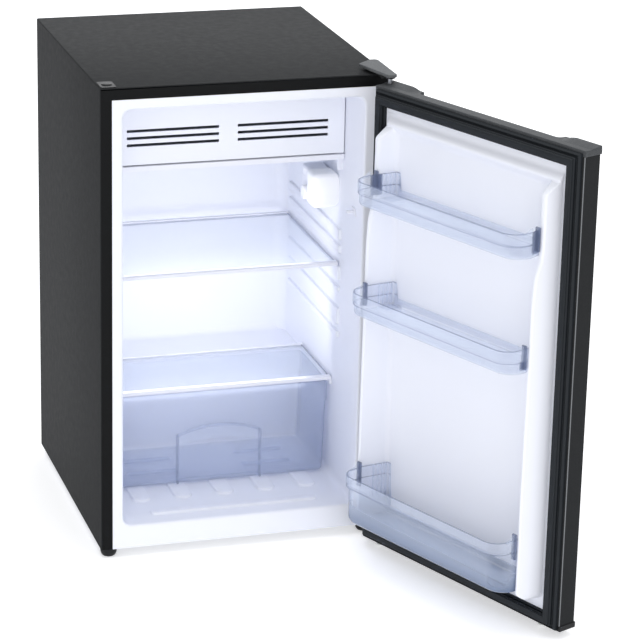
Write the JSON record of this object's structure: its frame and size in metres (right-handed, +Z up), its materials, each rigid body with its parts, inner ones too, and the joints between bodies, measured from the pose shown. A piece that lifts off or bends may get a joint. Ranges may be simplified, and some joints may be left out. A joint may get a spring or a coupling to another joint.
{
  "type": "mini fridge",
  "caption": "Under-counter mini fridge with a hinged door, door racks, glass shelf, crisper drawer and a flapped freezer compartment.",
  "frame": {"origin": "on the floor, under the centre of the cabinet's footprint", "axes": "+Z up, -Y out of the cabinet's front, +X towards the side with the door hinges, seen from the front on the right; the door stands open at rest"},
  "size_m": [0.6849, 1.0247, 0.8455],
  "materials": {
    "painted_steel": "fine textured paint",
    "black_steel": "satin paint",
    "zinc_steel": "zinc plated",
    "white_plastic": "smooth semi-gloss",
    "black_plastic": "fine matte texture",
    "grey_plastic": "fine matte texture",
    "foam": "rigid foam",
    "aluminium_sheet": "satin",
    "clear_plastic": "clear, blue tint",
    "shelf_glass": "tempered, clear",
    "lamp_glass": "frosted",
    "frosted_plastic": "frosted",
    "copper_tube": "drawn tube",
    "black_rubber": "soft",
    "nylon": "natural nylon"
  },
  "bodies": {
    "cabinet": {"cabinet_wrap": "painted_steel", "back_panel": "black_steel", "bottom_plate": "zinc_steel", "front_frame": "black_steel", "inner_liner": "white_plastic", "foam_insulation": "foam", "corner_cap": "black_plastic", "hinge_bracket_top": "black_steel", "hinge_pin_top": "zinc_steel", "hinge_cover_top": "grey_plastic", "hinge_screws_top": "zinc_steel", "hinge_bracket_bottom": "black_steel", "hinge_pin_bottom": "zinc_steel", "hinge_screws_bottom": "zinc_steel", "foot_nuts": "zinc_steel", "rear_feet": "black_plastic", "evaporator_box": "aluminium_sheet", "freezer_frame": "white_plastic", "flap_pins": "zinc_steel", "thermostat_housing": "white_plastic", "thermostat_switch": "zinc_steel", "lamp_cover": "frosted_plastic", "lamp_bulb": "lamp_glass", "lamp_socket": "white_plastic", "lamp_switch_body": "white_plastic", "compressor": "black_steel", "compressor_base": "zinc_steel", "compressor_grommets": "black_rubber", "compressor_bolts": "zinc_steel", "start_relay": "black_plastic", "condenser_tube": "black_steel", "condenser_wires": "black_steel", "condenser_clips": "black_plastic", "filter_drier": "copper_tube", "refrigerant_pipes": "copper_tube", "cord_gland": "black_rubber"},
    "door": {"door_skin": "painted_steel", "door_foam": "foam", "door_liner": "white_plastic", "door_gasket": "black_rubber", "door_cap_top": "grey_plastic", "door_cap_bottom": "black_plastic", "hinge_bushes": "nylon", "door_pads": "nylon"},
    "flap": {"freezer_flap": "white_plastic"},
    "shelf": {"shelf_glass": "shelf_glass", "shelf_front_trim": "white_plastic", "shelf_rear_trim": "white_plastic"},
    "crisper_cover": {"crisper_cover_glass": "shelf_glass", "crisper_cover_trim": "white_plastic"},
    "drawer": {"crisper_drawer": "clear_plastic"},
    "knob": {"thermostat_knob": "white_plastic"},
    "lamp_button": {"lamp_switch_button": "white_plastic"},
    "left_foot": {"foot_left": "black_plastic"},
    "right_foot": {"foot_right": "black_plastic"},
    "upper_rack": {"rack_top": "clear_plastic"},
    "middle_rack": {"rack_middle": "clear_plastic"},
    "bottle_rack": {"rack_bottom": "clear_plastic"}
  },
  "joints": [
    {"name": "door_hinge", "type": "hinge", "parent": "cabinet", "child": "door", "pos_m": [0.2375, -0.2955, 0.416], "axis": [0, 0, 1], "range_deg": [-112.8, 20]},
    {"name": "flap_hinge", "type": "hinge", "parent": "cabinet", "child": "flap", "pos_m": [0, -0.1475, 0.783], "axis": [-1, 0, 0], "range_deg": [0, 85]},
    {"name": "shelf_slide", "type": "slide", "parent": "cabinet", "child": "shelf", "axis": [0, -1, 0], "range_m": [0, 0.16]},
    {"name": "cover_slide", "type": "slide", "parent": "cabinet", "child": "crisper_cover", "axis": [0, -1, 0], "range_m": [0, 0.1]},
    {"name": "drawer_slide", "type": "slide", "parent": "cabinet", "child": "drawer", "axis": [0, -1, 0], "range_m": [0, 0.17]},
    {"name": "thermostat_turn", "type": "hinge", "parent": "cabinet", "child": "knob", "pos_m": [0.1684, -0.064, 0.578], "axis": [-1, 0, 0], "range_deg": [0, 270]},
    {"name": "lamp_button_press", "type": "slide", "parent": "cabinet", "child": "lamp_button", "axis": [1, 0, 0], "range_m": [0, 0.008], "stiffness_N_per_m": 200, "springref_m": -0.002},
    {"name": "left_foot_turn", "type": "hinge", "parent": "cabinet", "child": "left_foot", "pos_m": [-0.231, -0.24, 0.008], "axis": [0, 0, 1], "continuous": true},
    {"name": "right_foot_turn", "type": "hinge", "parent": "cabinet", "child": "right_foot", "pos_m": [0.231, -0.24, 0.008], "axis": [0, 0, 1], "continuous": true},
    {"name": "upper_rack_lift", "type": "slide", "parent": "door", "child": "upper_rack", "axis": [0, 0, 1], "range_m": [0, 0.012]},
    {"name": "middle_rack_lift", "type": "slide", "parent": "door", "child": "middle_rack", "axis": [0, 0, 1], "range_m": [0, 0.012]},
    {"name": "bottle_rack_lift", "type": "slide", "parent": "door", "child": "bottle_rack", "axis": [0, 0, 1], "range_m": [0, 0.012]}
  ]
}
